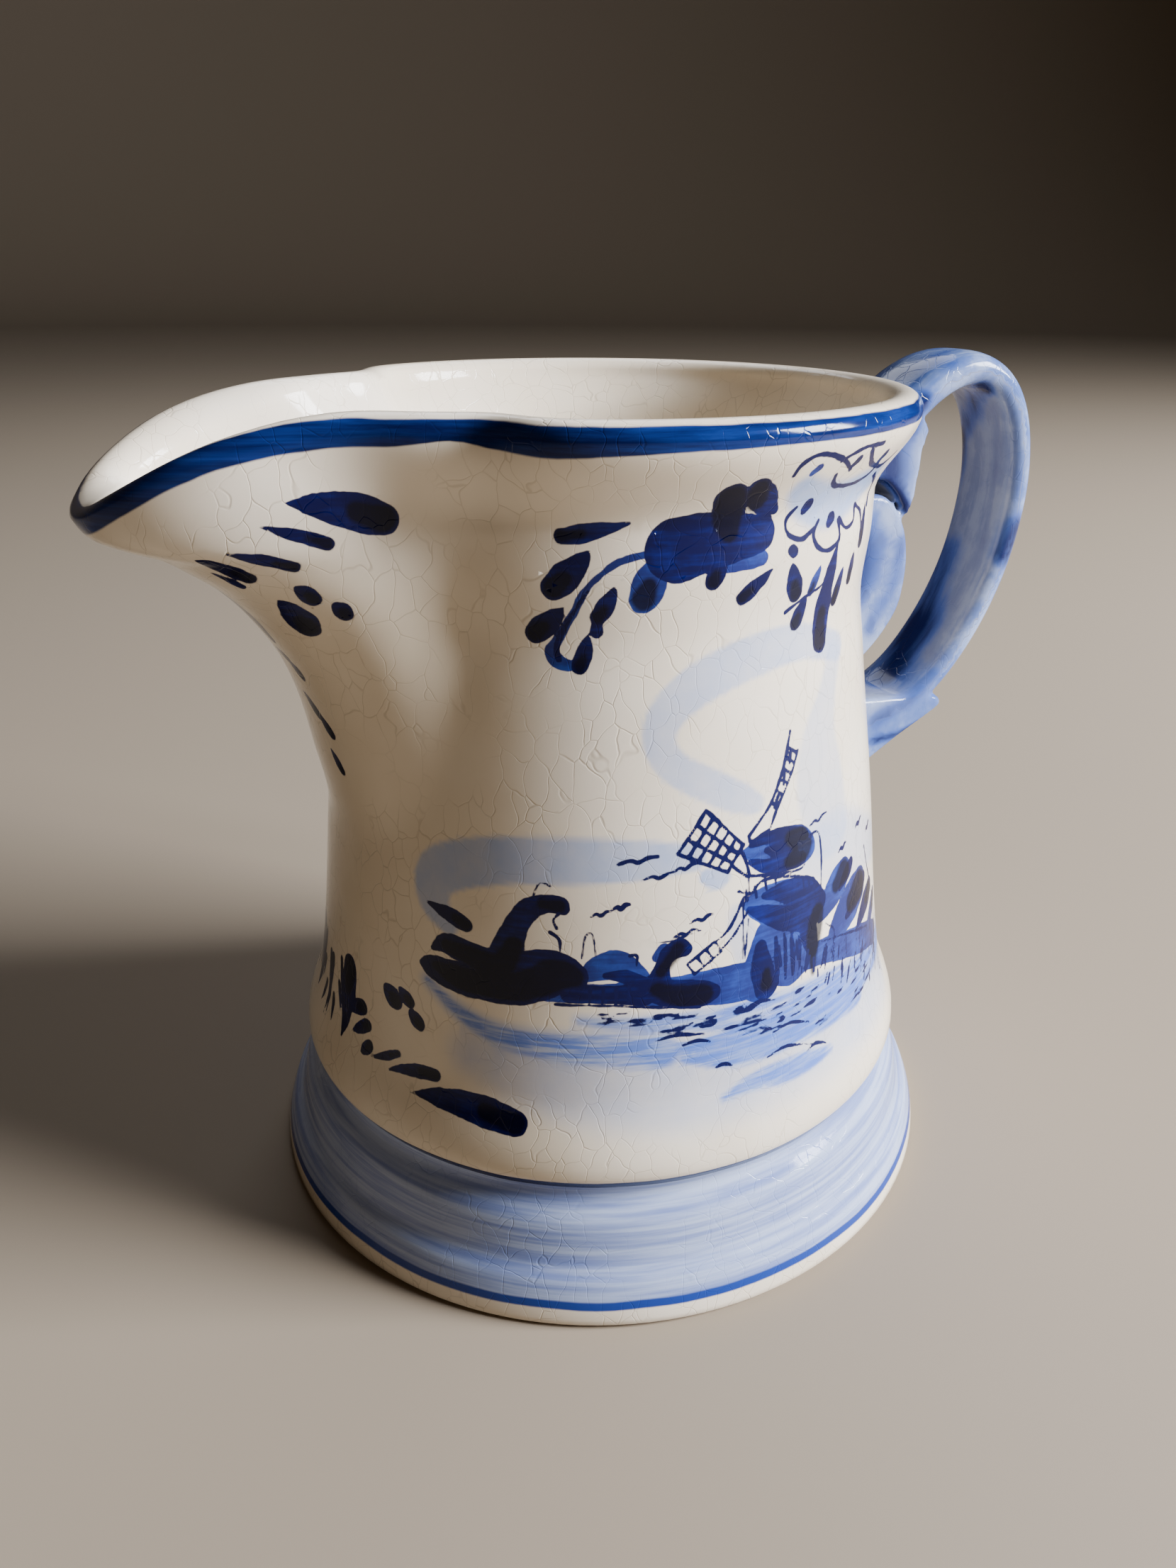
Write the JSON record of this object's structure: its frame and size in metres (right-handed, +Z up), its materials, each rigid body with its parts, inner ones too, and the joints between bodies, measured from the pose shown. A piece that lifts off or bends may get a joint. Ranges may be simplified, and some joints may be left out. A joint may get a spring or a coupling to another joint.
{
  "type": "delftware milk pitcher",
  "caption": "Small waisted earthenware pitcher with a pulled spout and a strap handle, painted in cobalt blue on a cream crackled glaze.",
  "frame": {"origin": "centre of the flat underside of the foot", "axes": "+Z up along the axis of the body, +X towards the handle, -X towards the spout, +Y to the back"},
  "size_m": [0.1343, 0.1, 0.1121],
  "materials": {
    "glazed_earthenware": "glossy crackled cream glaze with cobalt painting"
  },
  "bodies": {
    "root": {"pitcher": "glazed_earthenware"}
  },
  "joints": []
}
